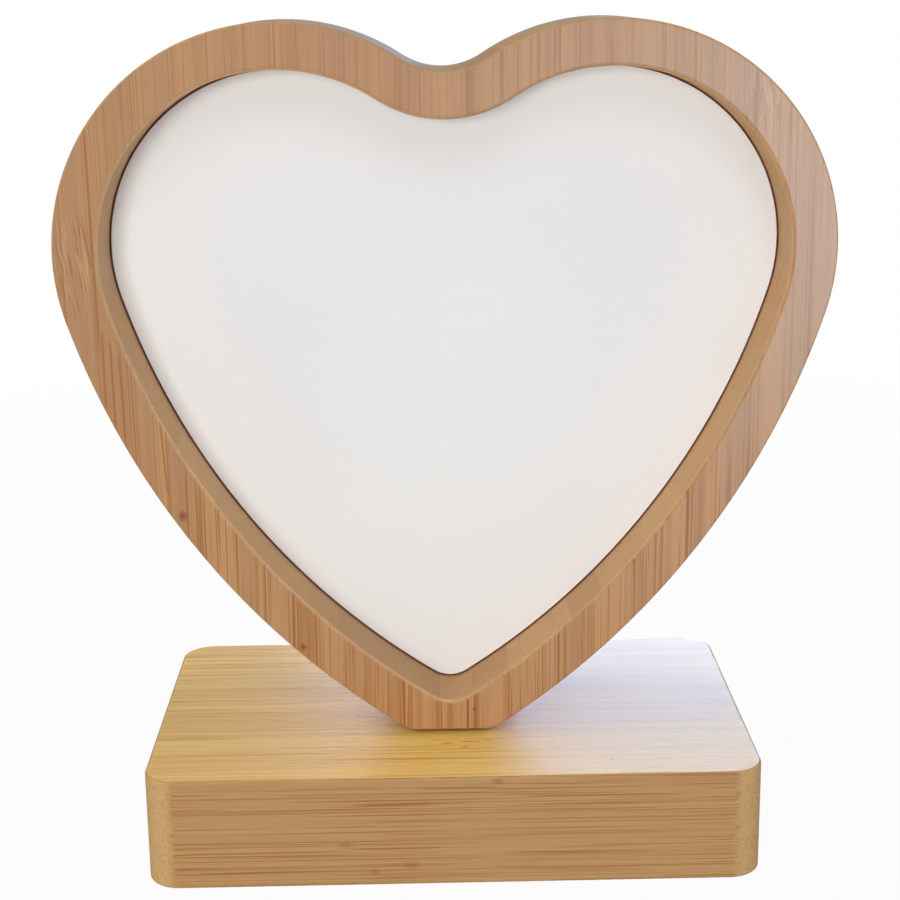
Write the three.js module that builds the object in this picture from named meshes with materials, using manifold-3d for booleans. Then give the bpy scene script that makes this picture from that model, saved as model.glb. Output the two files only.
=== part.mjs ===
// Revolving photo frame: a heart-shaped bamboo ring with a white panel in it, standing by its tip on
// a bamboo block and turning there on a bolt. Millimetres, +Z up, the front of the heart faces -Y.
// The origin is the middle of the block's underside, on the axis of the bolt.

import * as THREE from 'three';
import { mergeVertices } from 'three/addons/utils/BufferGeometryUtils.js';
import Module from 'manifold-3d';

// Clearances
const SEAT_GAP = 0.25; // between pieces that are glued, pressed or screwed together
const RUNNING_GAP = 0.2; // between pieces that turn on each other
const SWIVEL_GAP = 0.5; // between the heart's flat tip and the block

// Base block
const BASE_WIDTH = 110;
const BASE_DEPTH = 68;
const BASE_HEIGHT = 20.5;
const BASE_CORNER_RADIUS = 6;
const BASE_EDGE_EASE = 0.5;

// Outline of the heart, measured from the flat at its tip
const LOBE_RADIUS = 39.4;
const LOBE_OFFSET = 29; // lobe centre from the middle line
const LOBE_HEIGHT = 89.1; // lobe centre above the flat
const SIDE_RADIUS = 142;
const CLEFT_RADIUS = 13.5;
const TIP_FLAT_WIDTH = 15.4; // before its corners are rounded
const TIP_CORNER_RADIUS = 4.5;

// Ring in two layers, and the panel in it
const BAND_WIDTH = 8;
const OPENING_TIP_RADIUS = 6;
const RING_EDGE_EASE = 0.4;
const REAR_RING_THICKNESS = 11.5;
const LEDGE_WIDTH = 3; // how far the rear layer stands in behind the panel
const PANEL_RECESS = 12.5; // panel face behind the ring's front face
const PANEL_THICKNESS = 3;
const PANEL_CLEARANCE = 0.4; // all round the panel
const PANEL_EDGE_EASE = 0.3;
const TAPE_THICKNESS = 0.5;
const TAPE_WIDTH = 2;
const TAPE_LENGTH = 18;
const DOWEL_DIAMETER = 4;
const DOWEL_LENGTH = 10;

// Pivot
const BOLT_DIAMETER = 5;
const BOLT_HEAD_DIAMETER = 9;
const BOLT_HEAD_HEIGHT = 1.6;
const BOLT_END_PROUD = 0.5; // below the nut
const BOLT_END_ROOM = 0.8; // between the bolt's end and the table
const PLATE_WIDTH = 10;
const PLATE_LENGTH = 20;
const PLATE_THICKNESS = 1.5;
const SCREW_SPACING = 14;
const SCREW_DIAMETER = 2.5;
const SCREW_HEAD_DIAMETER = 4.6;
const SCREW_HEAD_HEIGHT = 1.2;
const SCREW_LENGTH = 4.5;
const BUSH_WALL = 1.5;
const BUSH_FLANGE_DIAMETER = 14;
const BUSH_FLANGE_THICKNESS = 1.5;
const WASHER_DIAMETER = 10;
const WASHER_THICKNESS = 1;
const WAVE_WASHER_DIAMETER = 9;
const WAVE_WASHER_THICKNESS = 0.35;
const WAVE_HEIGHT = 0.6;
const NUT_ACROSS_FLATS = 8;
const NUT_HEX_HEIGHT = 4;
const NUT_COLLAR_HEIGHT = 1;
const NUT_COLLAR_DIAMETER = 7.6;
const COUNTERBORE_ROOM = 1.7; // round the washer, for a socket

// Where the dowels and the tape pads lie along the outline
const DOWEL_LOBE_ANGLE = THREE.MathUtils.degToRad(20);
const DOWEL_SIDE_SHARE = 0.35; // of the side arc, from the tip
const TAPE_LOBE_ANGLE = THREE.MathUtils.degToRad(5);
const TAPE_TOP_ANGLE = THREE.MathUtils.degToRad(80);
const TAPE_SIDE_SHARE = 0.5;

// Steps of the round stretches
const LOBE_STEPS = 26;
const SIDE_STEPS = 9;
const CLEFT_STEPS = 8;
const TIP_STEPS = 6;
const CORNER_STEPS = 8;
const EASE_STEPS = 2;
const ROUND_STEPS = 40;
const DOWEL_STEPS = 20;
const TAPE_STEPS = 6;
const WAVES = 3;
const NUT_SIDES = 6;

// Heights and depths that follow
const FLAT_Z = BASE_HEIGHT + SWIVEL_GAP;
const FRONT_RING_THICKNESS = PANEL_RECESS + PANEL_THICKNESS + SEAT_GAP + TAPE_THICKNESS;
const HEART_THICKNESS = FRONT_RING_THICKNESS + SEAT_GAP + REAR_RING_THICKNESS;
const FRONT_Y = -HEART_THICKNESS / 2;
const FRONT_RING_BACK_Y = FRONT_Y + FRONT_RING_THICKNESS;
const REAR_RING_FRONT_Y = FRONT_RING_BACK_Y + SEAT_GAP;
const REAR_Y = HEART_THICKNESS / 2;
const PANEL_FRONT_Y = FRONT_Y + PANEL_RECESS;
const PANEL_BACK_Y = PANEL_FRONT_Y + PANEL_THICKNESS;
const PLATE_TOP_Z = FLAT_Z + PLATE_THICKNESS;
const BOLT_HEAD_Z = PLATE_TOP_Z + SEAT_GAP;
const BOLT_TOP_Z = BOLT_HEAD_Z + BOLT_HEAD_HEIGHT;
const NUT_Z = BOLT_END_ROOM + BOLT_END_PROUD;
const NUT_TOP_Z = NUT_Z + NUT_HEX_HEIGHT + NUT_COLLAR_HEIGHT;
const WAVE_Z = NUT_TOP_Z + SEAT_GAP;
const WASHER_Z = WAVE_Z + WAVE_WASHER_THICKNESS + WAVE_HEIGHT + SEAT_GAP;
const COUNTERBORE_DEPTH = WASHER_Z + WASHER_THICKNESS + RUNNING_GAP;
const BUSH_TOP_Z = FLAT_Z - RUNNING_GAP;
const BUSH_FLANGE_Z = BUSH_TOP_Z - BUSH_FLANGE_THICKNESS;
const BUSH_BORE_RADIUS = BOLT_DIAMETER / 2 + RUNNING_GAP;
const BUSH_RADIUS = BUSH_BORE_RADIUS + BUSH_WALL;
const BOLT_HOLE_RADIUS = BOLT_DIAMETER / 2 + SEAT_GAP;

// Finishes
const BAMBOO = { color: 0xc49a6c, roughness: 0.55, metalness: 0 };
const BASE_BAMBOO = { color: 0xc9a870, roughness: 0.5, metalness: 0 };
const WHITE_COAT = { color: 0xe8e4e0, roughness: 0.35, metalness: 0 };
const BEECH = { color: 0xd2b48c, roughness: 0.7, metalness: 0 };
const TAPE = { color: 0xf2f0ea, roughness: 0.8, metalness: 0 };
const STEEL = { color: 0xb8babd, roughness: 0.35, metalness: 1 };
const NYLON = { color: 0xe6e3da, roughness: 0.5, metalness: 0 };

const wasm = await Module();
wasm.setup();

// A closed mesh as a solid for joining and cutting
function toSolid(geometry) {
  const bare = geometry.clone();
  bare.deleteAttribute('normal');
  bare.deleteAttribute('uv');
  const merged = mergeVertices(bare);
  return new wasm.Manifold(new wasm.Mesh({
    numProp: 3,
    vertProperties: new Float32Array(merged.attributes.position.array),
    triVerts: new Uint32Array(merged.index.array),
  }));
}

function toGeometry(solid) {
  const mesh = solid.getMesh();
  const geometry = new THREE.BufferGeometry();
  geometry.setAttribute('position', new THREE.BufferAttribute(mesh.vertProperties, mesh.numProp));
  geometry.setIndex(new THREE.BufferAttribute(mesh.triVerts, 1));
  geometry.computeVertexNormals();
  return geometry;
}

function cut(geometry, cutters) {
  let solid = toSolid(geometry);
  for (const cutter of cutters) {
    solid = solid.subtract(toSolid(cutter));
  }
  return toGeometry(solid);
}

// Arc points from one angle to another, the last one left to the next arc
function arc(centre, radius, from, to, steps) {
  const points = [];
  for (let step = 0; step < steps; step += 1) {
    const angle = from + (to - from) * step / steps;
    const point = new THREE.Vector2(Math.cos(angle), Math.sin(angle)).multiplyScalar(radius);
    points.push(point.add(centre));
  }
  return points;
}

function angleTo(centre, point) {
  return Math.atan2(point.y - centre.y, point.x - centre.x);
}

// The right half of the heart is three arcs that run into each other: a long side arc that starts
// at the corner of the flat, the lobe, and the hollow arc of the cleft. A small arc rounds the corner
// of the flat, and another one the tip of the opening.
const LOBE = new THREE.Vector2(LOBE_OFFSET, LOBE_HEIGHT);
const FLAT_END = new THREE.Vector2(TIP_FLAT_WIDTH / 2, 0);
const SIDE = sideCentre();
const CLEFT = cleftCentre();
const TIP_CORNER = tipCornerCentre();
const OPENING_TIP = openingTipCentre();
const SIDE_TIP_ANGLE = angleTo(SIDE, TIP_CORNER);
const SIDE_LOBE_ANGLE = angleTo(SIDE, LOBE);
const LOBE_CLEFT_ANGLE = angleTo(LOBE, CLEFT);

// Centre of the side arc: through the end of the flat, and touching the lobe from outside
function sideCentre() {
  const reach = LOBE.clone().sub(FLAT_END);
  const distance = reach.length();
  const toLobe = SIDE_RADIUS - LOBE_RADIUS;
  const along = (SIDE_RADIUS ** 2 - toLobe ** 2 + distance ** 2) / (2 * distance);
  const across = Math.sqrt(SIDE_RADIUS ** 2 - along ** 2);
  const forward = reach.normalize();
  const leftward = new THREE.Vector2(-forward.y, forward.x);
  return FLAT_END.clone().addScaledVector(forward, along).addScaledVector(leftward, across);
}

function cleftCentre() {
  const reach = LOBE_RADIUS + CLEFT_RADIUS;
  return new THREE.Vector2(0, LOBE_HEIGHT + Math.sqrt(reach ** 2 - LOBE_OFFSET ** 2));
}

// Touches the flat and the side arc from inside
function tipCornerCentre() {
  const across = (SIDE_RADIUS - TIP_CORNER_RADIUS) ** 2 - (SIDE.y - TIP_CORNER_RADIUS) ** 2;
  return new THREE.Vector2(SIDE.x + Math.sqrt(across), TIP_CORNER_RADIUS);
}

// On the middle line, touching the side arcs of the opening from inside
function openingTipCentre() {
  const reach = SIDE_RADIUS - BAND_WIDTH - OPENING_TIP_RADIUS;
  return new THREE.Vector2(0, SIDE.y - Math.sqrt(reach ** 2 - SIDE.x ** 2));
}

function mirror(point) {
  return new THREE.Vector2(-point.x, point.y);
}

// The arcs of the right half, moved inwards by inset, and their mirror image
function outlineFrom(corner, cornerRadius, inset) {
  const down = -Math.PI / 2;
  const turn = angleTo(SIDE, corner);
  const half = [
    ...arc(corner, cornerRadius, down, turn, TIP_STEPS),
    ...arc(SIDE, SIDE_RADIUS - inset, turn, SIDE_LOBE_ANGLE, SIDE_STEPS),
    ...arc(LOBE, LOBE_RADIUS - inset, SIDE_LOBE_ANGLE, LOBE_CLEFT_ANGLE, LOBE_STEPS),
    ...arc(CLEFT, CLEFT_RADIUS + inset, LOBE_CLEFT_ANGLE - Math.PI, down, CLEFT_STEPS),
  ];
  const middle = new THREE.Vector2(0, CLEFT.y - CLEFT_RADIUS - inset);
  const otherHalf = half.filter((point) => point.x > 0).map(mirror).reverse();
  return [...half, middle, ...otherHalf];
}

// Outside of the heart, with its flat tip
function heartOutline(inset) {
  return outlineFrom(TIP_CORNER, TIP_CORNER_RADIUS - inset, inset);
}

// An opening or a panel that follows the heart, with a rounded tip
function innerOutline(inset) {
  return outlineFrom(OPENING_TIP, OPENING_TIP_RADIUS + BAND_WIDTH - inset, inset);
}

function roundedRectangle(inset) {
  const radius = BASE_CORNER_RADIUS - inset;
  const x = BASE_WIDTH / 2 - BASE_CORNER_RADIUS;
  const y = BASE_DEPTH / 2 - BASE_CORNER_RADIUS;
  const points = [];
  [[x, y], [-x, y], [-x, -y], [x, -y]].forEach(([cornerX, cornerY], quarter) => {
    const from = quarter * Math.PI / 2;
    const corner = new THREE.Vector2(cornerX, cornerY);
    points.push(...arc(corner, radius, from, from + Math.PI / 2, CORNER_STEPS));
    const end = new THREE.Vector2(-Math.sin(from), Math.cos(from)).multiplyScalar(radius);
    points.push(end.add(corner));
  });
  return points;
}

// Skins a stack of outlines, each with or without a hole, into one closed solid. Every layer is
// { depth, outline, hole } with as many points as the next, and place turns a point and its depth
// into a place in space.
function loft(layers, place) {
  const positions = [];
  const indices = [];
  const rings = layers[0].hole ? ['outline', 'hole'] : ['outline'];
  const starts = layers.map((layer) => rings.map((ring) => {
    const start = positions.length / 3;
    for (const point of layer[ring]) {
      positions.push(...place(point, layer.depth).toArray());
    }
    return start;
  }));
  rings.forEach((ring, ringIndex) => {
    const count = layers[0][ring].length;
    const flip = ring === 'hole';
    for (let layer = 0; layer + 1 < layers.length; layer += 1) {
      const low = starts[layer][ringIndex];
      const high = starts[layer + 1][ringIndex];
      for (let index = 0; index < count; index += 1) {
        const next = (index + 1) % count;
        const quad = [low + index, low + next, high + next, high + index];
        if (flip) quad.reverse();
        indices.push(quad[0], quad[1], quad[2], quad[0], quad[2], quad[3]);
      }
    }
  });
  const addCap = (layer, up) => {
    const { outline, hole } = layers[layer];
    const points = hole ? [...outline, ...hole] : outline;
    const faces = THREE.ShapeUtils.triangulateShape([...outline], hole ? [[...hole]] : []);
    for (const [a, b, c] of faces) {
      const turn = THREE.ShapeUtils.area([points[a], points[b], points[c]]) > 0;
      const first = starts[layer][0];
      indices.push(first + a, first + (turn === up ? b : c), first + (turn === up ? c : b));
    }
  };
  addCap(0, false);
  addCap(layers.length - 1, true);
  const geometry = new THREE.BufferGeometry();
  geometry.setAttribute('position', new THREE.Float32BufferAttribute(positions, 3));
  geometry.setIndex(indices);
  return geometry;
}

// Steps of a softened edge: how far it is in from the side and in from the end face
function easeSteps(ease) {
  const steps = [];
  for (let step = 0; step <= EASE_STEPS; step += 1) {
    const angle = step / EASE_STEPS * Math.PI / 2;
    steps.push({ side: ease * (1 - Math.sin(angle)), end: ease * (1 - Math.cos(angle)) });
  }
  return steps;
}

const placeUpright = (point, depth) => new THREE.Vector3(point.x, -depth, FLAT_Z + point.y);
const placeFlat = (point, depth) => new THREE.Vector3(point.x, point.y, depth);

// A turned piece about the Z axis, from a closed profile of [radius, height] corners
function turned(profile) {
  const closed = [...profile, profile[0]].map(([radius, height]) => new THREE.Vector2(radius, height));
  return new THREE.LatheGeometry(closed, ROUND_STEPS).rotateX(Math.PI / 2);
}

function rod(radius, bottom, top) {
  const length = top - bottom;
  const shape = new THREE.CylinderGeometry(radius, radius, length, ROUND_STEPS);
  return shape.rotateX(Math.PI / 2).translate(0, 0, bottom + length / 2);
}

function tube(inner, outer, bottom, top) {
  return turned([[inner, bottom], [outer, bottom], [outer, top], [inner, top]]);
}

// A bar with round ends, lying along Y
function roundEndedBar(width, length, bottom, top) {
  const radius = width / 2;
  const straight = length / 2 - radius;
  const shape = new THREE.Shape();
  shape.absarc(0, straight, radius, 0, Math.PI, false);
  shape.absarc(0, -straight, radius, Math.PI, 2 * Math.PI, false);
  const options = { depth: top - bottom, bevelEnabled: false, curveSegments: ROUND_STEPS / 2 };
  return new THREE.ExtrudeGeometry(shape, options).translate(0, 0, bottom);
}

// A countersunk screw standing point up, with extra added all round for its hole
function screw(y, extra) {
  const head = SCREW_HEAD_DIAMETER / 2 + extra;
  const shank = SCREW_DIAMETER / 2 + extra;
  const top = FLAT_Z + SCREW_LENGTH + extra;
  const point = top - SCREW_DIAMETER / 2;
  const neck = FLAT_Z + SCREW_HEAD_HEIGHT;
  const mouth = extra > 0 ? [[0, FLAT_Z - extra], [head, FLAT_Z - extra]] : [[0, FLAT_Z]];
  return turned([...mouth, [head, FLAT_Z], [shank, neck], [shank, point], [0, top]]).translate(0, y, 0);
}

// A point on the middle of the band, on the lobe or on the side arc of the right half
function onLobe(angle, inset) {
  return arc(LOBE, LOBE_RADIUS - inset, angle, angle, 1)[0];
}

function onSide(share, inset) {
  const angle = THREE.MathUtils.lerp(SIDE_TIP_ANGLE, SIDE_LOBE_ANGLE, share);
  return arc(SIDE, SIDE_RADIUS - inset, angle, angle, 1)[0];
}

const UPPER_DOWEL = onLobe(DOWEL_LOBE_ANGLE, BAND_WIDTH / 2);
const LOWER_DOWEL = onSide(DOWEL_SIDE_SHARE, BAND_WIDTH / 2);
const DOWEL_PLACES = {
  upper_right: UPPER_DOWEL,
  upper_left: mirror(UPPER_DOWEL),
  lower_right: LOWER_DOWEL,
  lower_left: mirror(LOWER_DOWEL),
};

// A dowel across the glue line, with extra added all round for its hole
function dowel(point, extra) {
  const radius = DOWEL_DIAMETER / 2 + extra;
  const length = DOWEL_LENGTH + 2 * extra;
  const shape = new THREE.CylinderGeometry(radius, radius, length, DOWEL_STEPS);
  return shape.translate(point.x, (FRONT_RING_BACK_Y + REAR_RING_FRONT_Y) / 2, FLAT_Z + point.y);
}

// What both layers of the ring are cut by: the pivot plate, the bolt's head, the screws, the dowels
function ringCutters() {
  const plateWidth = PLATE_WIDTH + 2 * SEAT_GAP;
  const plateLength = PLATE_LENGTH + 2 * SEAT_GAP;
  const headRadius = BOLT_HEAD_DIAMETER / 2 + SEAT_GAP;
  return [
    roundEndedBar(plateWidth, plateLength, BASE_HEIGHT, PLATE_TOP_Z + SEAT_GAP),
    rod(headRadius, FLAT_Z, BOLT_TOP_Z + SEAT_GAP),
    screw(SCREW_SPACING / 2, SEAT_GAP),
    screw(-SCREW_SPACING / 2, SEAT_GAP),
    ...Object.values(DOWEL_PLACES).map((point) => dowel(point, SEAT_GAP)),
  ];
}

// Ring layers run from the joint to the outside face, where both edges are softened
function ringLayer(jointY, faceY, openingInset) {
  const outward = Math.sign(faceY - jointY);
  const layers = [{ y: jointY, side: 0 }];
  for (const { side, end } of easeSteps(RING_EDGE_EASE).reverse()) {
    layers.push({ y: faceY - outward * end, side });
  }
  if (outward > 0) layers.reverse();
  const sections = layers.map(({ y, side }) => ({
    depth: -y,
    outline: heartOutline(side),
    hole: innerOutline(openingInset - side),
  }));
  return cut(loft(sections, placeUpright), ringCutters());
}

function baseBlock() {
  const layers = [];
  for (const { side, end } of easeSteps(BASE_EDGE_EASE)) {
    layers.push({ depth: end, outline: roundedRectangle(side) });
  }
  for (const { side, end } of easeSteps(BASE_EDGE_EASE).reverse()) {
    layers.push({ depth: BASE_HEIGHT - end, outline: roundedRectangle(side) });
  }
  const bore = BUSH_RADIUS + SEAT_GAP;
  const recess = BUSH_FLANGE_DIAMETER / 2 + SEAT_GAP;
  const counterbore = WASHER_DIAMETER / 2 + COUNTERBORE_ROOM;
  return cut(loft(layers, placeFlat), [
    rod(bore, -BASE_EDGE_EASE, BASE_HEIGHT + BASE_EDGE_EASE),
    rod(recess, BUSH_FLANGE_Z - SEAT_GAP, BASE_HEIGHT + BASE_EDGE_EASE),
    rod(counterbore, -BASE_EDGE_EASE, COUNTERBORE_DEPTH),
  ]);
}

function photoPanel() {
  const inset = BAND_WIDTH + PANEL_CLEARANCE;
  const layers = [];
  for (const { side, end } of easeSteps(PANEL_EDGE_EASE)) {
    layers.push({ depth: -PANEL_BACK_Y + end, outline: innerOutline(inset + side) });
  }
  for (const { side, end } of easeSteps(PANEL_EDGE_EASE).reverse()) {
    layers.push({ depth: -PANEL_FRONT_Y - end, outline: innerOutline(inset + side) });
  }
  return loft(layers, placeUpright);
}

// A strip of tape on the ledge, along an arc of the outline that is centred on centre
function tapePad(centre, radius, angle) {
  const half = TAPE_LENGTH / radius / 2;
  const outer = radius + TAPE_WIDTH / 2;
  const inner = radius - TAPE_WIDTH / 2;
  const shape = new THREE.Shape();
  shape.absarc(centre.x, centre.y, outer, angle - half, angle + half, false);
  shape.absarc(centre.x, centre.y, inner, angle + half, angle - half, true);
  const options = { depth: TAPE_THICKNESS, bevelEnabled: false, curveSegments: TAPE_STEPS };
  const strip = new THREE.ExtrudeGeometry(shape, options).rotateX(Math.PI / 2);
  return strip.translate(0, PANEL_BACK_Y + SEAT_GAP + TAPE_THICKNESS, FLAT_Z);
}

function pivotBush() {
  const flange = BUSH_FLANGE_DIAMETER / 2;
  return turned([
    [BUSH_BORE_RADIUS, COUNTERBORE_DEPTH],
    [BUSH_RADIUS, COUNTERBORE_DEPTH],
    [BUSH_RADIUS, BUSH_FLANGE_Z],
    [flange, BUSH_FLANGE_Z],
    [flange, BUSH_TOP_Z],
    [BUSH_BORE_RADIUS, BUSH_TOP_Z],
  ]);
}

function pivotPlate() {
  const plate = roundEndedBar(PLATE_WIDTH, PLATE_LENGTH, FLAT_Z, PLATE_TOP_Z);
  return cut(plate, [
    rod(BOLT_HOLE_RADIUS, FLAT_Z - SEAT_GAP, PLATE_TOP_Z + SEAT_GAP),
    screw(SCREW_SPACING / 2, SEAT_GAP),
    screw(-SCREW_SPACING / 2, SEAT_GAP),
  ]);
}

function pivotBolt() {
  const shank = BOLT_DIAMETER / 2;
  const head = BOLT_HEAD_DIAMETER / 2;
  return turned([
    [0, BOLT_END_ROOM],
    [shank, BOLT_END_ROOM],
    [shank, BOLT_HEAD_Z],
    [head, BOLT_HEAD_Z],
    [head, BOLT_TOP_Z],
    [0, BOLT_TOP_Z],
  ]);
}

// A spring washer whose ring rises and falls in waves
function waveWasher() {
  const inner = BOLT_HOLE_RADIUS;
  const outer = WAVE_WASHER_DIAMETER / 2;
  const positions = [];
  const indices = [];
  for (let step = 0; step < ROUND_STEPS; step += 1) {
    const angle = step / ROUND_STEPS * 2 * Math.PI;
    const low = WAVE_Z + WAVE_HEIGHT / 2 * (1 + Math.sin(WAVES * angle));
    const high = low + WAVE_WASHER_THICKNESS;
    const section = [[inner, low], [outer, low], [outer, high], [inner, high]];
    for (const [radius, z] of section) {
      positions.push(radius * Math.cos(angle), radius * Math.sin(angle), z);
    }
    const corners = section.length;
    const here = step * corners;
    const there = (step + 1) % ROUND_STEPS * corners;
    for (let corner = 0; corner < corners; corner += 1) {
      const next = (corner + 1) % corners;
      indices.push(here + corner, there + next, here + next);
      indices.push(here + corner, there + corner, there + next);
    }
  }
  const geometry = new THREE.BufferGeometry();
  geometry.setAttribute('position', new THREE.Float32BufferAttribute(positions, 3));
  geometry.setIndex(indices);
  return geometry;
}

// A hexagon nut with a round locking collar on top
function lockNut() {
  const hexRadius = NUT_ACROSS_FLATS / 2 / Math.cos(Math.PI / NUT_SIDES);
  const hexTop = NUT_Z + NUT_HEX_HEIGHT;
  const hexagon = new THREE.CylinderGeometry(hexRadius, hexRadius, NUT_HEX_HEIGHT, NUT_SIDES);
  hexagon.rotateX(Math.PI / 2).translate(0, 0, NUT_Z + NUT_HEX_HEIGHT / 2);
  const overlap = NUT_COLLAR_HEIGHT / 2;
  const collar = rod(NUT_COLLAR_DIAMETER / 2, hexTop - overlap, NUT_TOP_Z);
  const whole = toGeometry(toSolid(hexagon).add(toSolid(collar)));
  return cut(whole, [rod(BOLT_HOLE_RADIUS, NUT_Z - overlap, NUT_TOP_Z + overlap)]);
}

const photoFrame = new THREE.Group();

function addPiece(name, geometry, finish) {
  const mesh = new THREE.Mesh(geometry, new THREE.MeshStandardMaterial(finish));
  mesh.name = name;
  photoFrame.add(mesh);
}

addPiece('base_block', baseBlock(), BASE_BAMBOO);
addPiece('pivot_bush', pivotBush(), NYLON);
addPiece('front_ring', ringLayer(FRONT_RING_BACK_Y, FRONT_Y, BAND_WIDTH), BAMBOO);
addPiece('rear_ring', ringLayer(REAR_RING_FRONT_Y, REAR_Y, BAND_WIDTH + LEDGE_WIDTH), BAMBOO);
for (const [place, point] of Object.entries(DOWEL_PLACES)) {
  addPiece(`ring_dowel_${place}`, dowel(point, 0), BEECH);
}
addPiece('photo_panel', photoPanel(), WHITE_COAT);

const tapeInset = BAND_WIDTH + (PANEL_CLEARANCE + LEDGE_WIDTH) / 2;
const tapeSideAngle = THREE.MathUtils.lerp(SIDE_TIP_ANGLE, SIDE_LOBE_ANGLE, TAPE_SIDE_SHARE);
const tapePlaces = {
  side: [SIDE, SIDE_RADIUS - tapeInset, tapeSideAngle],
  lobe: [LOBE, LOBE_RADIUS - tapeInset, TAPE_LOBE_ANGLE],
  top: [LOBE, LOBE_RADIUS - tapeInset, TAPE_TOP_ANGLE],
};
for (const [place, [centre, radius, angle]] of Object.entries(tapePlaces)) {
  addPiece(`tape_pad_${place}_right`, tapePad(centre, radius, angle), TAPE);
  addPiece(`tape_pad_${place}_left`, tapePad(mirror(centre), radius, Math.PI - angle), TAPE);
}

addPiece('pivot_plate', pivotPlate(), STEEL);
addPiece('plate_screw_front', screw(-SCREW_SPACING / 2, 0), STEEL);
addPiece('plate_screw_rear', screw(SCREW_SPACING / 2, 0), STEEL);
addPiece('pivot_bolt', pivotBolt(), STEEL);
const washerTop = WASHER_Z + WASHER_THICKNESS;
addPiece('flat_washer', tube(BOLT_HOLE_RADIUS, WASHER_DIAMETER / 2, WASHER_Z, washerTop), STEEL);
addPiece('wave_washer', waveWasher(), STEEL);
addPiece('lock_nut', lockNut(), STEEL);

export default photoFrame;
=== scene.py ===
import math

import bmesh
import bpy
from mathutils import Matrix, Vector


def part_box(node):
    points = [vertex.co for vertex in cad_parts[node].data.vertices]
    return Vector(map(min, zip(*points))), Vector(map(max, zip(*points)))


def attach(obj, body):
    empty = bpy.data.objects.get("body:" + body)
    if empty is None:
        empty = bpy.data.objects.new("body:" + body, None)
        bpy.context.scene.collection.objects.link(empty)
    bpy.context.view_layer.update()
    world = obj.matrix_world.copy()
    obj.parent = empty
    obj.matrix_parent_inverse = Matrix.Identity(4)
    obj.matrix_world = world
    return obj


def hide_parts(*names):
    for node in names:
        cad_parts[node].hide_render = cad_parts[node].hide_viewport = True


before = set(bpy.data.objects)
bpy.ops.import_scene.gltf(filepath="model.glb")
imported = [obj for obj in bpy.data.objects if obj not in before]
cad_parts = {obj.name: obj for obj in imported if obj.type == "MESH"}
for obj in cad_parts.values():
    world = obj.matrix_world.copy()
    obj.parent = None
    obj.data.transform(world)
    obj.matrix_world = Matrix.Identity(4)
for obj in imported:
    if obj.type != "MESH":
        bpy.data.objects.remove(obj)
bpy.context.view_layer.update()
mm = 0.001


# Base block. Bamboo strips are glued on edge into a board, which is sawn to a block. Its upright
# corners are rounded, the arrises eased and the faces sanded and sealed with a satin lacquer.
# A stepped hole for the pivot runs through it.
base_low, base_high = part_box("base_block")
bush_low, bush_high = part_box("pivot_bush")
washer_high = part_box("flat_washer")[1]
base_corner_radius = 6 * mm
base_edge_ease = 0.5 * mm
seat_gap = 0.25 * mm
flange_thickness = 1.5 * mm
bush_radius = 4.2 * mm
socket_room = 1.7 * mm
bore_radius = bush_radius + seat_gap
recess_radius = bush_high.x + seat_gap
recess_floor = bush_high.z - flange_thickness - seat_gap
counterbore_radius = washer_high.x + socket_room
counterbore_top = bush_low.z
same_place = 0.001 * mm
same_level = 0.01 * mm
sharp_angle = math.radians(40)


def linear(colour):
    channels = [int(colour[place:place + 2], 16) / 255 for place in (1, 3, 5)]
    return [c / 12.92 if c <= 0.04045 else ((c + 0.055) / 1.055) ** 2.4 for c in channels] + [1]


def add(tree, kind, sockets=None, **settings):
    made = tree.nodes.new("ShaderNode" + kind)
    for setting, value in settings.items():
        setattr(made, setting, value)
    for key, value in (sockets or {}).items():
        socket = made.inputs[key] if isinstance(key, int) else next(
            s for s in made.inputs if s.enabled and s.name == key)
        if isinstance(value, bpy.types.NodeSocket):
            tree.links.new(value, socket)
        else:
            socket.default_value = value
    return next(s for s in made.outputs if s.enabled)


def new_finish(name):
    material = bpy.data.materials.new(name)
    material.use_nodes = True
    tree = material.node_tree
    return material, tree, tree.nodes["Principled BSDF"], add(tree, "TexCoord").node.outputs


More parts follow.
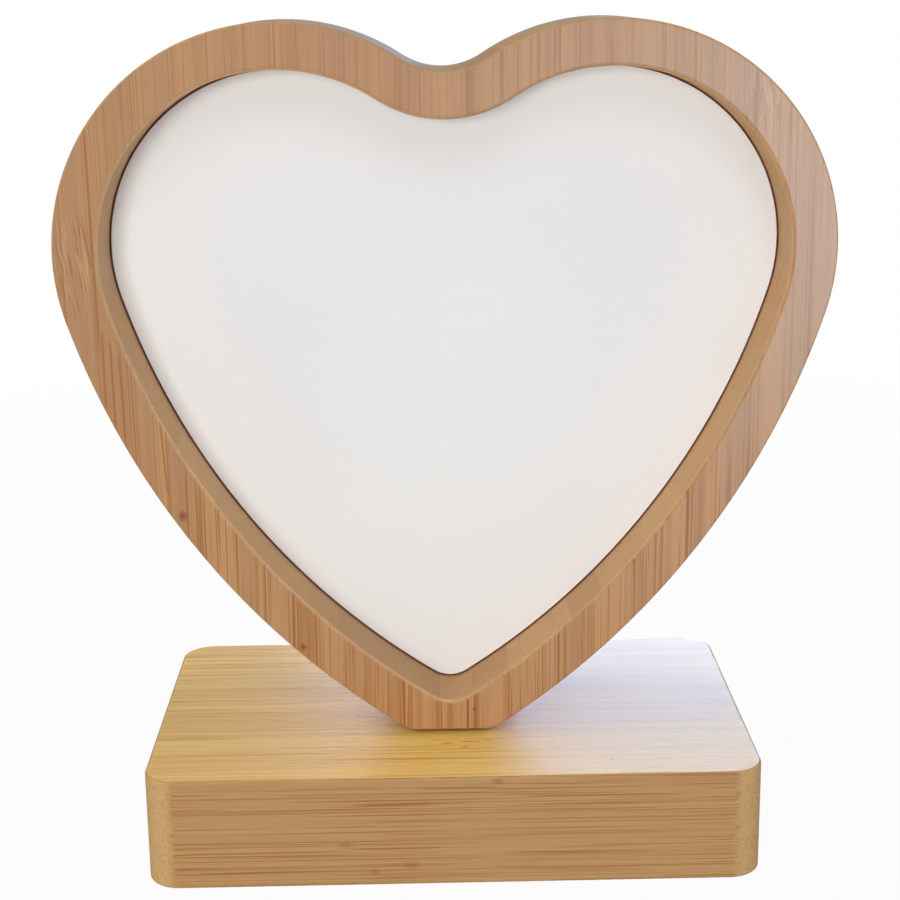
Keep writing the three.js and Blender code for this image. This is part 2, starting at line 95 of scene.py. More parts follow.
def laminated_bamboo(name, axes, strip, grain, ridge, tones, streak, seam_dark, stray_dark, roughness, ior,
                     fade=(0, 1, 1), sawn=(0.05, 0.4), nodes=(), knots=(), veins=()):
    # Sanded bamboo shows straight fibres, strips that differ in tone, hair-fine lines in twos and
    # threes where strips meet, and short slanted dashes where a stem had a node. Sawn ends show the
    # cut fibres as dots on a dull ground, and arrises a few pale torn fibres.
    # Lengths are in millimetres. axes: along the fibres, from strip to strip, up a strip. grain: width
    # of a fibre line. ridge: how far it stands up. fade: from where to where a painted sheen makes the
    # lines faint and turns the ground to the blush tone, and how faint. sawn: how far a face turns to the
    # fibres' ends before it shows them.
    pale, deep, blush_and_sheen, line, end = (linear(tone) for tone in tones)
    material, tree, shader, where = new_finish(name)
    soft = {"interpolation_type": "SMOOTHSTEP"}
    colour = {"data_type": "RGBA"}
    place = add(tree, "VectorMath", {0: where["Object"], "Scale": 1000}, operation="SCALE")
    split = add(tree, "SeparateXYZ", {0: place}).node.outputs
    along, across, upright = (split[axis] for axis in axes)
    facing = add(tree, "SeparateXYZ", {0: where["Normal"]}).node.outputs
    facing_along = add(tree, "Math", {0: facing[axes[0]]}, operation="ABSOLUTE")
    facing_up = add(tree, "Math", {0: facing[axes[2]]}, operation="ABSOLUTE")

    # The fibres drift sideways by about half a millimetre over 80 mm
    straight = add(tree, "CombineXYZ", {0: along, 1: across, 2: upright})
    drift_size = add(tree, "VectorMath", {0: straight, 1: (1 / 80, 1 / 40, 1 / 40)}, operation="MULTIPLY")
    drift = add(tree, "TexNoise", {"Vector": drift_size, "Scale": 1, "Detail": 0})
    drifted = add(tree, "Math", {0: drift, 1: 1.2, 2: across}, operation="MULTIPLY_ADD")
    fibre = add(tree, "CombineXYZ", {0: along, 1: drifted, 2: upright})

    def streaks(length, width, detail=0):
        size = add(tree, "VectorMath", {0: fibre, 1: (1 / length, 1 / width, 1 / width)},
                   operation="MULTIPLY")
        return add(tree, "TexNoise", {"Vector": size, "Scale": 1, "Detail": detail})

    def distance(middle, reach):
        offset = add(tree, "VectorMath", {0: place, 1: middle}, operation="SUBTRACT")
        share = add(tree, "VectorMath", {0: offset, 1: [1 / r for r in reach]}, operation="MULTIPLY")
        return add(tree, "VectorMath", {0: share}, operation="LENGTH").node.outputs["Value"]

    # Strips, each of its own tone, with bands 2 to 3 mm wide and single fibres, drawn coarser to show
    strip_place = add(tree, "Math", {0: drifted, 1: 1 / strip}, operation="MULTIPLY")
    strip_shape = {"W": strip_place, "Scale": 1, "Randomness": 0.7}
    strips = add(tree, "TexVoronoi", strip_shape, voronoi_dimensions="1D").node.outputs
    strip_tones = add(tree, "SeparateColor", {0: strips["Color"]}).node.outputs
    seam = add(tree, "TexVoronoi", strip_shape, voronoi_dimensions="1D", feature="DISTANCE_TO_EDGE")
    hairs = streaks(15, grain, 1)
    tone = add(tree, "Math", {0: strip_tones[0], 1: 0.5, 2: 0.25}, operation="MULTIPLY_ADD")
    for pattern, depth in ((streaks(250, 3, 1), 0.6 * streak), (hairs, 0.3 * streak)):
        shade = add(tree, "MapRange", {"Value": pattern, "From Min": 0.3, "From Max": 0.7,
                                       "To Min": -depth, "To Max": depth}, **soft)
        tone = add(tree, "Math", {0: tone, 1: shade}, operation="ADD")
    wood = add(tree, "Mix", {"Factor": tone, "A": deep, "B": pale}, **colour)
    # Painted sheen: over fade's span the lines grow faint and the ground turns to the blush tone
    faint = add(tree, "MapRange", {"Value": along, "From Min": fade[0], "From Max": fade[1],
                                   "To Min": 1, "To Max": fade[2]}, **soft)
    strip_blush = add(tree, "Math", {0: strip_tones[1], 1: 0.6}, operation="MULTIPLY")
    faint_blush = add(tree, "Math", {0: faint, 1: -0.8, 2: 0.8}, operation="MULTIPLY_ADD")
    for share in (strip_blush, faint_blush):
        wood = add(tree, "Mix", {"Factor": share, "A": wood, "B": blush_and_sheen}, **colour)

    # Hair lines: two or three where strips meet, dark beside pale, and stretches of 10 to 40 mm elsewhere
    near_seam = add(tree, "MapRange", {"Value": seam, "From Min": 0.4 / strip, "From Max": 2 / strip,
                                       "To Min": 1, "To Max": 0}, **soft)
    broken = add(tree, "MapRange", {"Value": streaks(60, 2), "From Min": 0.35, "From Max": 0.6,
                                    "To Min": 0.3}, **soft)
    shown = add(tree, "Math", {0: near_seam, 1: broken}, operation="MULTIPLY")
    shown = add(tree, "Math", {0: shown, 1: faint}, operation="MULTIPLY")
    lines = streaks(400, 1.5 * grain)
    pale_lines = add(tree, "MapRange", {"Value": lines, "From Min": 0.48, "From Max": 0.36,
                                        "To Max": 0.9 * seam_dark}, **soft)
    pale_lines = add(tree, "Math", {0: pale_lines, 1: shown}, operation="MULTIPLY")
    wood = add(tree, "Mix", {"Factor": pale_lines, "A": wood, "B": pale}, **colour)
    seam_lines = add(tree, "MapRange", {"Value": lines, "From Min": 0.55, "From Max": 0.65,
                                        "To Max": seam_dark}, **soft)
    seam_lines = add(tree, "Math", {0: seam_lines, 1: shown}, operation="MULTIPLY")
    stray_lines = add(tree, "MapRange", {"Value": streaks(40, 1.3 * grain), "From Min": 0.64,
                                         "From Max": 0.71, "To Max": stray_dark}, **soft)
    stray_lines = add(tree, "Math", {0: stray_lines, 1: faint}, operation="MULTIPLY")
    dark_lines = add(tree, "Math", {0: seam_lines, 1: stray_lines}, operation="MAXIMUM")

    # Veins: single dark lines that cross the fibres at a slant
    for (vein_across, vein_along), slant, half_length in veins:
        up = add(tree, "Math", {0: along, 1: vein_along}, operation="SUBTRACT")
        middle = add(tree, "Math", {0: up, 1: slant, 2: vein_across}, operation="MULTIPLY_ADD")
        beside = add(tree, "Math", {0: middle, 1: across}, operation="SUBTRACT")
        beside = add(tree, "Math", {0: beside}, operation="ABSOLUTE")
        thin = add(tree, "MapRange", {"Value": beside, "From Min": 0.1, "From Max": 0.28,
                                      "To Min": 0.6, "To Max": 0}, **soft)
        up = add(tree, "Math", {0: up}, operation="ABSOLUTE")
        ending = add(tree, "MapRange", {"Value": up, "From Min": 0.7 * half_length,
                                        "From Max": half_length, "To Min": 1, "To Max": 0}, **soft)
        vein = add(tree, "Math", {0: thin, 1: ending}, operation="MULTIPLY")
        dark_lines = add(tree, "Math", {0: dark_lines, 1: vein}, operation="MAXIMUM")
    wood = add(tree, "Mix", {"Factor": dark_lines, "A": wood, "B": line}, **colour)

    # Nodes of the stem: slanted dashes, dark beside pale, within an oval
    relief = add(tree, "Math", {0: dark_lines, 1: -0.4, 2: streaks(4, grain)}, operation="MULTIPLY_ADD")
    for node_place, node_reach, node_dark in nodes:
        inside = add(tree, "MapRange", {"Value": distance(node_place, node_reach), "From Min": 0.5,
                                        "From Max": 1, "To Min": 1, "To Max": 0}, **soft)
        slanted = add(tree, "Math", {0: along, 1: 0.13, 2: across}, operation="MULTIPLY_ADD")
        slanted = add(tree, "CombineXYZ", {0: along, 1: slanted, 2: upright})
        dash_size = add(tree, "VectorMath", {0: slanted, 1: (1 / 4, 1 / (1.1 * grain), 1 / 9)},
                        operation="MULTIPLY")
        dashes = add(tree, "TexNoise", {"Vector": dash_size, "Scale": 1, "Detail": 0})
        for start, full, strength, cover in (
                (0.61, 0.68, node_dark, line), (0.38, 0.3, 0.5 * node_dark, linear("#D0AC86"))):
            dash = add(tree, "MapRange", {"Value": dashes, "From Min": start, "From Max": full,
                                          "To Max": strength}, **soft)
            dash = add(tree, "Math", {0: dash, 1: inside}, operation="MULTIPLY")
            wood = add(tree, "Mix", {"Factor": dash, "A": wood, "B": cover}, **colour)
        sunken = add(tree, "Math", {0: dashes, 1: inside}, operation="MULTIPLY")
        relief = add(tree, "Math", {0: relief, 1: sunken}, operation="SUBTRACT")

    # Knots and scorched spots: small red-brown specks with ragged edges
    for knot_place, knot_reach, knot_dark in knots:
        ragged = add(tree, "Math", {0: hairs, 1: 0.9, 2: distance(knot_place, knot_reach)},
                     operation="MULTIPLY_ADD")
        speck = add(tree, "MapRange", {"Value": ragged, "From Min": 0.6, "From Max": 1.5,
                                       "To Min": knot_dark, "To Max": 0}, **soft)
        wood = add(tree, "Mix", {"Factor": speck, "A": wood, "B": linear("#7C3E18")}, **colour)

    # Sawn ends: the cut fibres are dots 0.6 mm apart, drawn coarser to show
    dot_size = add(tree, "VectorMath", {0: place, "Scale": 1 / 0.6}, operation="SCALE")
    dots = add(tree, "TexNoise", {"Vector": dot_size, "Scale": 1, "Detail": 1})
    dots = add(tree, "MapRange", {"Value": dots, "From Min": 0.5, "From Max": 0.62}, **soft)
    dense = add(tree, "Math", {0: strip_tones[1], 1: 0.3, 2: 0.2}, operation="MULTIPLY_ADD")
    dots = add(tree, "Math", {0: dots, 1: dense}, operation="MULTIPLY")
    shade = add(tree, "Math", {0: strip_tones[0], 1: 0.2, 2: 0.9}, operation="MULTIPLY_ADD")
    ground = add(tree, "VectorMath", {0: end[:3], "Scale": shade}, operation="SCALE")
    ground = add(tree, "Mix", {"Factor": dots, "A": ground, "B": deep}, **colour)
    cut_across = add(tree, "MapRange", {"Value": facing_along, "From Min": sawn[0], "From Max": sawn[1],
                                        "To Max": 0.8}, **soft)
    wood = add(tree, "Mix", {"Factor": cut_across, "A": wood, "B": ground}, **colour)

    # Arrises, where the cutter tore fibres up in places
    turned = add(tree, "MapRange", {"Value": facing_up, "From Min": 0.1, "From Max": 0.4}, **soft)
    rounded = add(tree, "MapRange", {"Value": facing_up, "From Min": 0.99, "From Max": 0.9}, **soft)
    arris = add(tree, "Math", {0: turned, 1: rounded}, operation="MULTIPLY")
    torn = add(tree, "MapRange", {"Value": streaks(8, 0.4, 1), "From Min": 0.42, "From Max": 0.58,
                                  "To Max": 0.2}, **soft)
    torn = add(tree, "Math", {0: arris, 1: torn}, operation="MULTIPLY")
    wood = add(tree, "Mix", {"Factor": torn, "A": wood, "B": linear("#D0AC80")}, **colour)
    tree.links.new(wood, shader.inputs["Base Color"])

    # The finish is a little uneven over raised fibres, and dull on arrises and sawn ends, which soak it up
    uneven = add(tree, "MapRange", {"Value": hairs, "From Min": 0.25, "From Max": 0.75,
                                    "To Min": roughness - 0.04, "To Max": roughness + 0.04}, **soft)
    uneven = add(tree, "Math", {0: arris, 1: 0.3, 2: uneven}, operation="MULTIPLY_ADD")
    uneven = add(tree, "Math", {0: cut_across, 1: 0.6, 2: uneven}, operation="MULTIPLY_ADD")
    tree.links.new(uneven, shader.inputs["Roughness"])
    raised = add(tree, "Bump", {"Strength": 0.3, "Distance": ridge * mm, "Height": relief})
    tree.links.new(raised, shader.inputs["Normal"])
    shader.inputs["IOR"].default_value = ior
    return material


def ease(bm, edges, radius, segments):
    bmesh.ops.bevel(bm, geom=edges, offset=radius, offset_type="OFFSET", segments=segments,
                    profile=0.5, affect="EDGES", material=-1)


def finished_piece(name, bm, *finishes):
    bmesh.ops.remove_doubles(bm, verts=bm.verts, dist=same_place)
    bmesh.ops.recalc_face_normals(bm, faces=bm.faces)
    mesh = bpy.data.meshes.new(name)
    bm.to_mesh(mesh)
    bm.free()
    for finish in finishes:
        mesh.materials.append(finish)
    mesh.shade_smooth()
    mesh.set_sharp_from_angle(angle=sharp_angle)
    piece = bpy.data.objects.new(name, mesh)
    bpy.context.scene.collection.objects.link(piece)
    shading = piece.modifiers.new("even_shading", "WEIGHTED_NORMAL")
    shading.keep_sharp = True
    return piece


bm = bmesh.new()
bmesh.ops.create_cube(bm, size=1)
bmesh.ops.scale(bm, vec=base_high - base_low, verts=bm.verts)
bmesh.ops.translate(bm, vec=(base_low + base_high) / 2, verts=bm.verts)
uprights = [e for e in bm.edges if abs(e.verts[0].co.z - e.verts[1].co.z) > same_level]
ease(bm, uprights, base_corner_radius, segments=20)
rims = [e for e in bm.edges if abs(e.verts[0].co.z - e.verts[1].co.z) < same_level]
ease(bm, rims, base_edge_ease, segments=5)
bm.normal_update()
caps = [f for f in bm.faces if abs(f.normal.z) > 0.9999]
bmesh.ops.delete(bm, geom=caps, context="FACES_ONLY")
hole = [bm.verts.new((radius, 0, z)) for radius, z in (
    (recess_radius, base_high.z), (recess_radius, recess_floor), (bore_radius, recess_floor),
    (bore_radius, counterbore_top), (counterbore_radius, counterbore_top), (counterbore_radius, 0))]
hole_edges = [bm.edges.new(pair) for pair in zip(hole, hole[1:])]
bmesh.ops.spin(bm, geom=hole + hole_edges, cent=(0, 0, 0), axis=(0, 0, 1), dvec=(0, 0, 0),
               angle=math.tau, steps=72, use_merge=True)
for z, up in ((base_high.z, 1), (base_low.z, -1)):
    border = [e for e in bm.edges if e.is_boundary and abs(e.verts[0].co.z - z) < same_level]
    bmesh.ops.triangle_fill(bm, edges=border, use_beauty=True, use_dissolve=False, normal=(0, 0, up))

# The top face takes lighter, yellower tones than the sides, partly painted light from above. Its fade paints
# a sheen over the right half, where the lines grow faint and the ground turns to one tone.
base_top = laminated_bamboo(
    "lacquered bamboo, top face", axes=(0, 1, 2), strip=9, grain=0.6, ridge=0.09,
    tones=("#F3CF75", "#DCAE58", "#E5BF6F", "#C68733", "#D6B46A"), streak=0.7, seam_dark=0.65,
    stray_dark=0.6, roughness=0.4, ior=1.27, fade=(0, 25, 0.18),
    nodes=[((1, -19, 20.5), (14, 3.5, 3), 0.7)],
    knots=[((28.2, -27.5, 20.5), (0.6, 0.6, 1), 0.3), ((-17.8, -5.6, 20.5), (0.8, 0.6, 1), 0.4)])
base_sides = laminated_bamboo(
    "lacquered bamboo, sides", axes=(0, 1, 2), strip=5.5, grain=0.2, ridge=0.04,
    tones=("#B6915D", "#A77D4C", "#AD875D", "#8E4E18", "#C29F6C"), streak=0.55, seam_dark=0.35,
    stray_dark=0.65, roughness=0.4, ior=1.3,
    knots=[((7.6, -34, 19.7), (1.8, 2, 0.7), 0.4), ((-19.2, -34, 8), (1.8, 2, 0.8), 0.35),
           ((-14.3, -34, 2.6), (1.2, 2, 0.9), 0.35), ((-7.7, -34, 3.8), (2, 2, 1), 0.3)])
bm.normal_update()
for face in bm.faces:
    face.material_index = 1 if face.normal.z > 0.9 else 0
bamboo_block = finished_piece("bamboo_block", bm, base_sides, base_top)
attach(bamboo_block, "base")
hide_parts("base_block")


# Pivot bush. A moulded bush of undyed nylon, pressed into the block from above. Its flange carries
# the heart.
def dress(finish, parts):
    for part in parts:
        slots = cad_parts[part].data.materials
        slots.clear()
        slots.append(finish)


def moulded_nylon(name):
    # Natural nylon is a milky off-white with a soft sheen and a faint cloudiness
    material, tree, shader, where = new_finish(name)
    clouds = add(tree, "TexNoise", {"Vector": where["Object"], "Scale": 1 / (3 * mm), "Detail": 2})
    milk = add(tree, "Mix", {"Factor": clouds, "A": linear("#E9E6DD"), "B": linear("#DCD8CC")},
               data_type="RGBA")
    tree.links.new(milk, shader.inputs["Base Color"])
    sheen = add(tree, "MapRange", {"Value": clouds, "To Min": 0.4, "To Max": 0.5})
    tree.links.new(sheen, shader.inputs["Roughness"])
    shader.inputs["IOR"].default_value = 1.53
    return material


dress(moulded_nylon("natural nylon, moulded"), ["pivot_bush"])


# Heart ring, front layer. A bamboo board with upright fibres is sawn to the heart and its opening
# milled out. It is sanded, oiled and glued to the layer behind it.
front_low, front_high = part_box("front_ring")
rear_low, rear_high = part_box("rear_ring")
flat_z = front_low.z
lobe_radius = 39.4 * mm
lobe = Vector((29 * mm, 0, flat_z + 89.1 * mm))
side_radius = 142 * mm
cleft_radius = 13.5 * mm
flat_end = Vector((7.7 * mm, 0, flat_z))
tip_corner_radius = 4.5 * mm
band_width = 8 * mm
ledge_width = 3 * mm
opening_tip_radius = 6 * mm
ring_edge_ease = 0.4 * mm
opening_edge_ease = 0.7 * mm
glue_line = 0.08 * mm
joint_y = (front_high.y + rear_low.y) / 2
tip_steps, side_steps, lobe_steps, cleft_steps = 12, 36, 60, 20

# The side arc passes through the end of the flat and touches the lobe, the cleft touches both lobes.
# Small arcs round the corners of the flat and the tip of the opening.
reach = lobe - flat_end
inner_radius = side_radius - lobe_radius
forward = (side_radius ** 2 - inner_radius ** 2 + reach.length_squared) / (2 * reach.length)
sideways = math.sqrt(side_radius ** 2 - forward ** 2)
direction = reach.normalized()
side = flat_end + direction * forward + Vector((-direction.z, 0, direction.x)) * sideways
cleft = Vector((0, 0, lobe.z + math.sqrt((lobe_radius + cleft_radius) ** 2 - lobe.x ** 2)))
corner_z = flat_z + tip_corner_radius
corner_x = side.x + math.sqrt((side_radius - tip_corner_radius) ** 2 - (side.z - corner_z) ** 2)
tip_corner = Vector((corner_x, 0, corner_z))
opening_reach = side_radius - band_width - opening_tip_radius
opening_tip = Vector((0, 0, side.z - math.sqrt(opening_reach ** 2 - side.x ** 2)))
side_to_lobe = math.atan2(lobe.z - side.z, lobe.x - side.x)
lobe_to_cleft = math.atan2(cleft.z - lobe.z, cleft.x - lobe.x)


def heart_loop(bm, y, corner, corner_radius, flat_steps):
    # Half of the outline runs from the middle of the tip up to the cleft, and is mirrored. Every loop
    # has the same number of steps, so that two loops bridge one to one.
    before = set(bm.edges)
    turn = math.atan2(corner.z - side.z, corner.x - side.x)
    sweeps = [(corner, turn + math.pi / 2, tip_steps - flat_steps, 0),
              (side, side_to_lobe - turn, side_steps, 0),
              (lobe, lobe_to_cleft - side_to_lobe, lobe_steps, 0),
              (cleft, math.pi / 2 - lobe_to_cleft, cleft_steps, 0)]
    if flat_steps:
        sweeps.insert(0, (corner, 0, flat_steps, corner.x / flat_steps))
    last = bm.verts.new((0, y, corner.z - corner_radius))
    for centre, angle, steps, step_x in sweeps:
        drawn = bmesh.ops.spin(bm, geom=[last], cent=centre, axis=(0, -1, 0), dvec=(step_x, 0, 0),
                               angle=angle, steps=steps)
        last = next(v for v in drawn["geom_last"] if isinstance(v, bmesh.types.BMVert))
    half_edges = [e for e in bm.edges if e not in before]
    half = list(dict.fromkeys(v for e in half_edges for v in e.verts))
    bmesh.ops.mirror(bm, geom=half + half_edges, matrix=Matrix.Identity(4), merge_dist=same_place, axis="X")
    return [e for e in bm.edges if e not in before]


def opening_loop(bm, y, inset):
    return heart_loop(bm, y, opening_tip, opening_tip_radius + band_width - inset, flat_steps=0)


def thicken(bm, depth):
    grown = bmesh.ops.extrude_face_region(bm, geom=list(bm.faces), use_keep_orig=True)["geom"]
    moved = [v for v in grown if isinstance(v, bmesh.types.BMVert)]
    bmesh.ops.translate(bm, vec=(0, depth, 0), verts=moved)
    bmesh.ops.recalc_face_normals(bm, faces=bm.faces)


def flat_place(vertex):
    return round(vertex.co.x, 6), round(vertex.co.z, 6)


def ring_layer(name, back_y, face_y, opening_inset, *finishes):
    bm = bmesh.new()
    outside = heart_loop(bm, back_y, tip_corner, tip_corner_radius, flat_steps=4)
    opening = opening_loop(bm, back_y, opening_inset)
    opening_places = {flat_place(v) for e in opening for v in e.verts}
    bmesh.ops.bridge_loops(bm, edges=outside + opening)
    thicken(bm, face_y - back_y)
    for face in bm.faces:
        if all(flat_place(v) in opening_places for v in face.verts):
            face.material_index = 1
    arrises = [e for e in bm.edges if e.calc_face_angle() > sharp_angle and all(
        abs(v.co.y - face_y) < same_level for v in e.verts)]
    inner = [e for e in arrises if all(flat_place(v) in opening_places for v in e.verts)]
    outer = [e for e in arrises if e not in inner]
    ease(bm, inner, opening_edge_ease, segments=5)
    ease(bm, outer, ring_edge_ease, segments=5)
    return finished_piece(name, bm, *finishes)


# Its fade paints a sheen over the upper heart, where the lines grow faint and the ground turns to the blush
# tone.
ring_bamboo = laminated_bamboo(
    "oiled bamboo, fibres upright", axes=(2, 0, 1), strip=5.5, grain=0.25, ridge=0.04,
    tones=("#B48653", "#9E6E3C", "#A88161", "#8A501F", "#B4946A"), streak=0.9, seam_dark=1,
    stray_dark=0.75, roughness=0.42, ior=1.4, fade=(60, 100, 0.45), sawn=(0.1, 0.8),
    nodes=[((-64.5, -14, 109), (4.5, 16, 12), 0.5), ((54, -14, 135), (5, 16, 7), 0.4)],
    knots=[((-48, -14, 63.2), (1.2, 2, 1.4), 0.8), ((-27, -14, 37.8), (0.9, 2, 0.9), 0.9),
           ((4.2, -14, 25), (0.5, 2, 0.5), 0.8)],
    veins=[((-61.3, 114), -0.01, 22), ((-60.5, 90), 0, 8), ((-59.1, 86.5), -0.01, 10),
           ((-57.6, 85), -0.02, 9), ((-50.8, 74), -0.05, 8)])
# The milled walls of the opening take lighter, pinker tones than the face: partly painted light and bounce
# in the shaded opening.
milled_bamboo_painted_lighter = laminated_bamboo(
    "milled bamboo, fibres upright, painted lighter", axes=(2, 0, 1), strip=6, grain=0.3, ridge=0.06,
    tones=("#CAA170", "#BE9468", "#C29D78", "#9B6D4A", "#CAA277"), streak=0.5, seam_dark=0.4,
    stray_dark=0.3, roughness=0.65, ior=1.4)
heart_front = ring_layer("heart_front", joint_y - glue_line / 2, front_low.y, band_width,
                         ring_bamboo, milled_bamboo_painted_lighter)
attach(heart_front, "heart")
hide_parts("front_ring")


# Heart ring, rear layer. The same board and finish as the front layer, with a smaller opening, whose
# edge is the ledge that the panel lies against.
heart_rear = ring_layer("heart_rear", joint_y + glue_line / 2, rear_high.y, band_width + ledge_width,
                        ring_bamboo, milled_bamboo_painted_lighter)
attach(heart_rear, "heart")
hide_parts("rear_ring")


# Dowels. Four turned beech pegs, glued into both layers across the joint between them, which they
# keep in line.
def turned_beech(name):
    # Beech is pale brown with short darker flecks along its fibres, here along Y
    material, tree, shader, where = new_finish(name)
    fleck_size = add(tree, "Mapping", {"Vector": where["Object"],
                                       "Scale": (1 / (0.4 * mm), 1 / (3 * mm), 1 / (0.4 * mm))})
    flecks = add(tree, "TexNoise", {"Vector": fleck_size, "Scale": 1, "Detail": 1})
    flecks = add(tree, "MapRange", {"Value": flecks, "From Min": 0.5, "From Max": 0.7})
    beech = add(tree, "Mix", {"Factor": flecks, "A": linear("#D4B48C"), "B": linear("#A87C52")},
                data_type="RGBA")
    tree.links.new(beech, shader.inputs["Base Color"])
    shader.inputs["Roughness"].default_value = 0.7
    return material


dress(turned_beech("beech, turned"), [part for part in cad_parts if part.startswith("ring_dowel")])


# Photo panel. Hardboard with a white coated face on both sides, cut to the opening with a little
# to spare and held to the ledge by tape. Its sawn edge is brown.
panel_low, panel_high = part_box("photo_panel")
panel_clearance = 0.1 * mm
panel_edge_ease = 0.3 * mm


def white_coating(name):
    # A sprayed coating is an even warm white, nearly matt, with a very fine orange peel
    material, tree, shader, where = new_finish(name)
    shades = add(tree, "TexNoise", {"Vector": where["Object"], "Scale": 1 / (45 * mm), "Detail": 1})
    white = add(tree, "Mix", {"Factor": shades, "A": linear("#E5E5E4"), "B": linear("#E2E1E0")},
                data_type="RGBA")
    tree.links.new(white, shader.inputs["Base Color"])
    peel = add(tree, "TexNoise", {"Vector": where["Object"], "Scale": 1 / (0.6 * mm), "Detail": 1})
    sheen = add(tree, "MapRange", {"Value": peel, "To Min": 0.6, "To Max": 0.7})
    tree.links.new(sheen, shader.inputs["Roughness"])
    raised = add(tree, "Bump", {"Strength": 0.1, "Distance": 0.02 * mm, "Height": peel})
    tree.links.new(raised, shader.inputs["Normal"])
    shader.inputs["IOR"].default_value = 1.3
    return material


def hardboard(name):
    # Pressed wood fibre: brown and felted, with no gloss
    material, tree, shader, where = new_finish(name)
    felt = add(tree, "TexNoise", {"Vector": where["Object"], "Scale": 1 / (0.4 * mm), "Detail": 3})
    brown = add(tree, "Mix", {"Factor": felt, "A": linear("#8A5046"), "B": linear("#6A3C34")},
                data_type="RGBA")
    tree.links.new(brown, shader.inputs["Base Color"])
    raised = add(tree, "Bump", {"Strength": 0.4, "Distance": 0.1 * mm, "Height": felt})
    tree.links.new(raised, shader.inputs["Normal"])
    shader.inputs["Roughness"].default_value = 0.9
    return material


bm = bmesh.new()
rim = opening_loop(bm, panel_low.y, band_width + panel_clearance)
bmesh.ops.edgeloop_fill(bm, edges=rim)
thicken(bm, panel_high.y - panel_low.y)
ease(bm, [e for e in bm.edges if e.calc_face_angle() > sharp_angle], panel_edge_ease, segments=3)
bm.normal_update()
for face in bm.faces:
    face.material_index = 0 if abs(face.normal.y) > 0.999 else 1
white_panel = finished_piece("white_panel", bm, white_coating("white coating, sprayed matt"),
                             hardboard("hardboard, sawn"))
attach(white_panel, "heart")
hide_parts("photo_panel")


# Tape pads. Strips of double-sided acrylic foam tape, cut to length and pressed between the panel
# and the ledge.
def foam_tape(name):
    # Acrylic foam is chalk white with fine cells
    material, tree, shader, where = new_finish(name)
    cells = add(tree, "TexVoronoi", {"Vector": where["Object"], "Scale": 1 / (0.3 * mm)})
    foam = add(tree, "Mix", {"Factor": cells, "A": linear("#F2F0EA"), "B": linear("#DEDBD2")},
               data_type="RGBA")
    tree.links.new(foam, shader.inputs["Base Color"])
    shader.inputs["Roughness"].default_value = 0.85
    return material


dress(foam_tape("acrylic foam tape"), [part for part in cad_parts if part.startswith("tape_pad")])


# Pivot. A steel plate is screwed into the heart's flat and traps the head of a bolt, which runs down
# through the bush to a flat washer, a wave washer and a lock nut in the counterbore. All zinc plated.
def zinc_plate(name):
    # Bright zinc on turned or stamped steel: cool grey, with fine rings and a cloudy roughness
    material, tree, shader, where = new_finish(name)
    rings = add(tree, "TexWave", {"Vector": where["Object"], "Scale": 1 / (2.5 * mm), "Distortion": 1},
                wave_type="RINGS", rings_direction="Z")
    clouds = add(tree, "TexNoise", {"Vector": where["Object"], "Scale": 1 / (2 * mm), "Detail": 3})
    zinc = add(tree, "Mix", {"Factor": clouds, "A": linear("#C6C9CC"), "B": linear("#AEB1B4")},
               data_type="RGBA")
    tree.links.new(zinc, shader.inputs["Base Color"])
    dull = add(tree, "MapRange", {"Value": clouds, "From Min": 0.3, "From Max": 0.7,
                                  "To Min": 0.25, "To Max": 0.42})
    tree.links.new(dull, shader.inputs["Roughness"])
    raised = add(tree, "Bump", {"Strength": 0.2, "Distance": 0.02 * mm, "Height": rings})
    tree.links.new(raised, shader.inputs["Normal"])
    shader.inputs["Metallic"].default_value = 1
    return material


dress(zinc_plate("zinc-plated steel"), [
    "pivot_plate", "plate_screw_front", "plate_screw_rear", "pivot_bolt", "flat_washer", "wave_washer",
    "lock_nut"])


# Studio. A white paper floor in a white surround. Soft lamps stand before, behind and above the object
# and on both sides. Two windows behind it and a low lamp on its right only glint in the lacquer.
def seen_directly(tree):
    # Camera, glossy and transmitted rays see the white itself, and others only its light
    rays = add(tree, "LightPath").node.outputs
    seen = add(tree, "Math", {0: rays["Is Camera Ray"], 1: rays["Is Glossy Ray"]}, operation="MAXIMUM")
    return add(tree, "Math", {0: seen, 1: rays["Is Transmission Ray"]}, operation="MAXIMUM")


def white_paper(name):
    # Matt white paper with a faint tooth. It shows nearly white, with the object's shadow, and white far off
    material, tree, shader, where = new_finish(name)
    tree.nodes.remove(shader)
    tooth = add(tree, "TexNoise", {"Vector": where["Object"], "Scale": 1 / (2.5 * mm)})
    paper = add(tree, "Mix", {"Factor": tooth, "A": linear("#B4B4B4"), "B": linear("#B0B0B0")},
                data_type="RGBA")
    matt = add(tree, "BsdfDiffuse", {"Color": paper})
    lit = add(tree, "Emission", {"Color": (1, 1, 1, 1), "Strength": 1})
    away = add(tree, "VectorMath", {0: where["Object"]}, operation="LENGTH").node.outputs["Value"]
    glow = add(tree, "MapRange", {"Value": away, "From Min": 0.12, "From Max": 0.5, "To Min": 0.96})
    share = add(tree, "Math", {0: seen_directly(tree), 1: glow}, operation="MULTIPLY")
    mixed = add(tree, "MixShader", {0: share, 1: matt, 2: lit})
    tree.links.new(mixed, tree.nodes["Material Output"].inputs["Surface"])
    return material


bm = bmesh.new()
bmesh.ops.create_grid(bm, x_segments=1, y_segments=1, size=3)
floor = finished_piece("floor", bm, white_paper("white paper"))

world = bpy.data.worlds.new("white surround")
bpy.context.scene.world = world
world.use_nodes = True
background = world.node_tree.nodes["Background"]
background.inputs["Color"].default_value = (1, 1, 1, 1)
level = add(world.node_tree, "MapRange", {"Value": seen_directly(world.node_tree), "To Min": 0.15})
world.node_tree.links.new(level, background.inputs["Strength"])


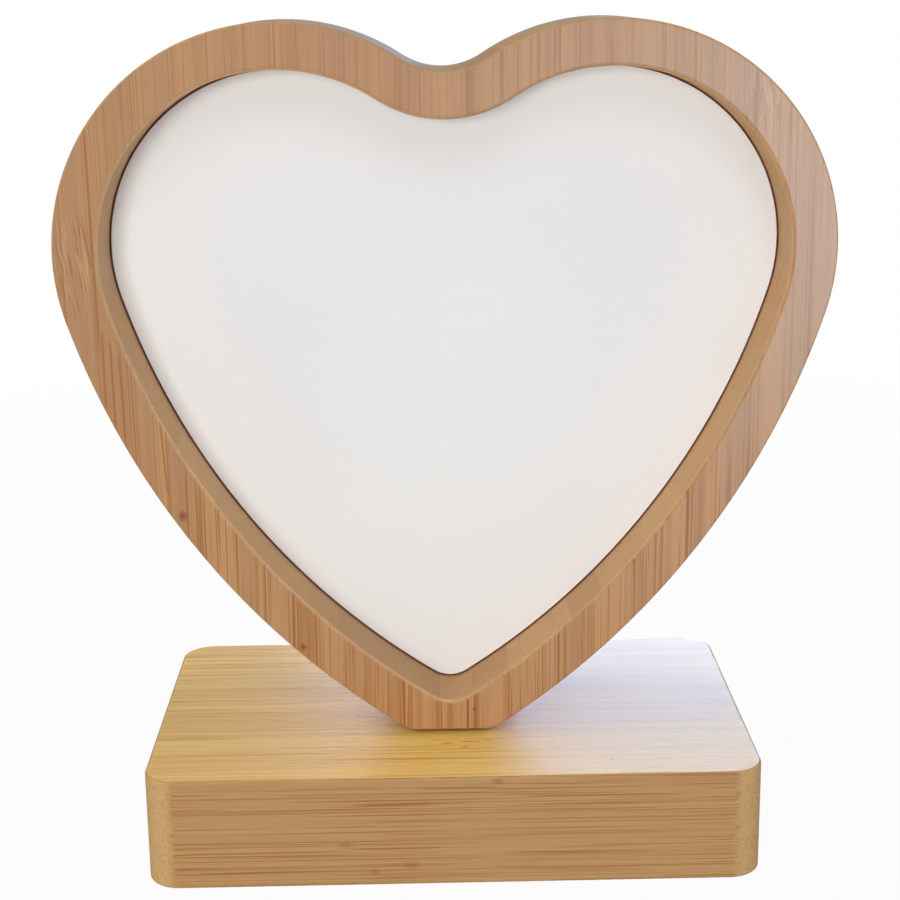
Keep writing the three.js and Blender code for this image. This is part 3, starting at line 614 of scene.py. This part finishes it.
def soft_lamp(name, place, target, width, height, power, colour):
    lamp = bpy.data.lights.new(name, "AREA")
    lamp.shape = "RECTANGLE"
    lamp.size = width
    lamp.size_y = height
    lamp.energy = power
    lamp.color = linear(colour)[:3]
    stand = bpy.data.objects.new(name, lamp)
    stand.location = place
    stand.rotation_mode = "QUATERNION"
    stand.rotation_quaternion = (Vector(target) - Vector(place)).to_track_quat("-Z", "Y")
    stand.visible_camera = False
    bpy.context.scene.collection.objects.link(stand)
    return stand


for name, place, target, width, height, power in (
        ("front lamp", (-0.2, -1.28, 0.15), (0, 0, 0.09), 0.5, 0.4, 12.2),
        ("fill lamp", (0, -1.0, 0.9), (0, 0, 0.06), 0.6, 0.6, 2.9),
        ("rear lamp", (0, 1.3, 0.05), (0, 0, 0.08), 0.5, 0.08, 13)):
    soft_lamp(name, place, target, width, height, power, "#FFFFFF").visible_glossy = False
soft_lamp("left lamp", (-1.0, 0, 0.8), (0, 0, 0.03), 0.7, 0.7, 6.6, "#FFFFFF")
soft_lamp("right lamp", (1.0, 0, 0.6), (0, 0, 0.03), 0.7, 0.7, 3.8, "#FFFFFF")
for name, place, target, width, height, power, colour in (
        ("window", (0.335, 1.0, 0.15), (0.1, 0, 0.02), 0.63, 0.23, 17.6, "#A8CCFF"),
        ("curtained window", (-0.028, 0.35, 0.06), (-0.028, 0, 0.05), 0.035, 0.06, 0.17, "#D8DDFF"),
        ("glint lamp", (0.28, -0.5, 0.03), (0.06, 0, 0.1), 0.3, 0.25, 7.25, "#BEE4FF")):
    soft_lamp(name, place, target, width, height, power, colour).visible_diffuse = False

lens = bpy.data.cameras.new("camera")
lens.sensor_width = 36
lens.lens = 71.8
camera = bpy.data.objects.new("camera", lens)
pitch, yaw, roll = math.radians(14.38), math.radians(0.95), math.radians(-0.69)
camera.matrix_world = (
    Matrix.Translation((-4.92 * mm, -324.61 * mm, 154.32 * mm)) @ Matrix.Rotation(-yaw, 4, "Z")
    @ Matrix.Rotation(math.pi / 2 - pitch, 4, "X") @ Matrix.Rotation(roll, 4, "Z"))
bpy.context.scene.collection.objects.link(camera)
bpy.context.scene.camera = camera
bpy.context.scene.view_settings.view_transform = "Standard"
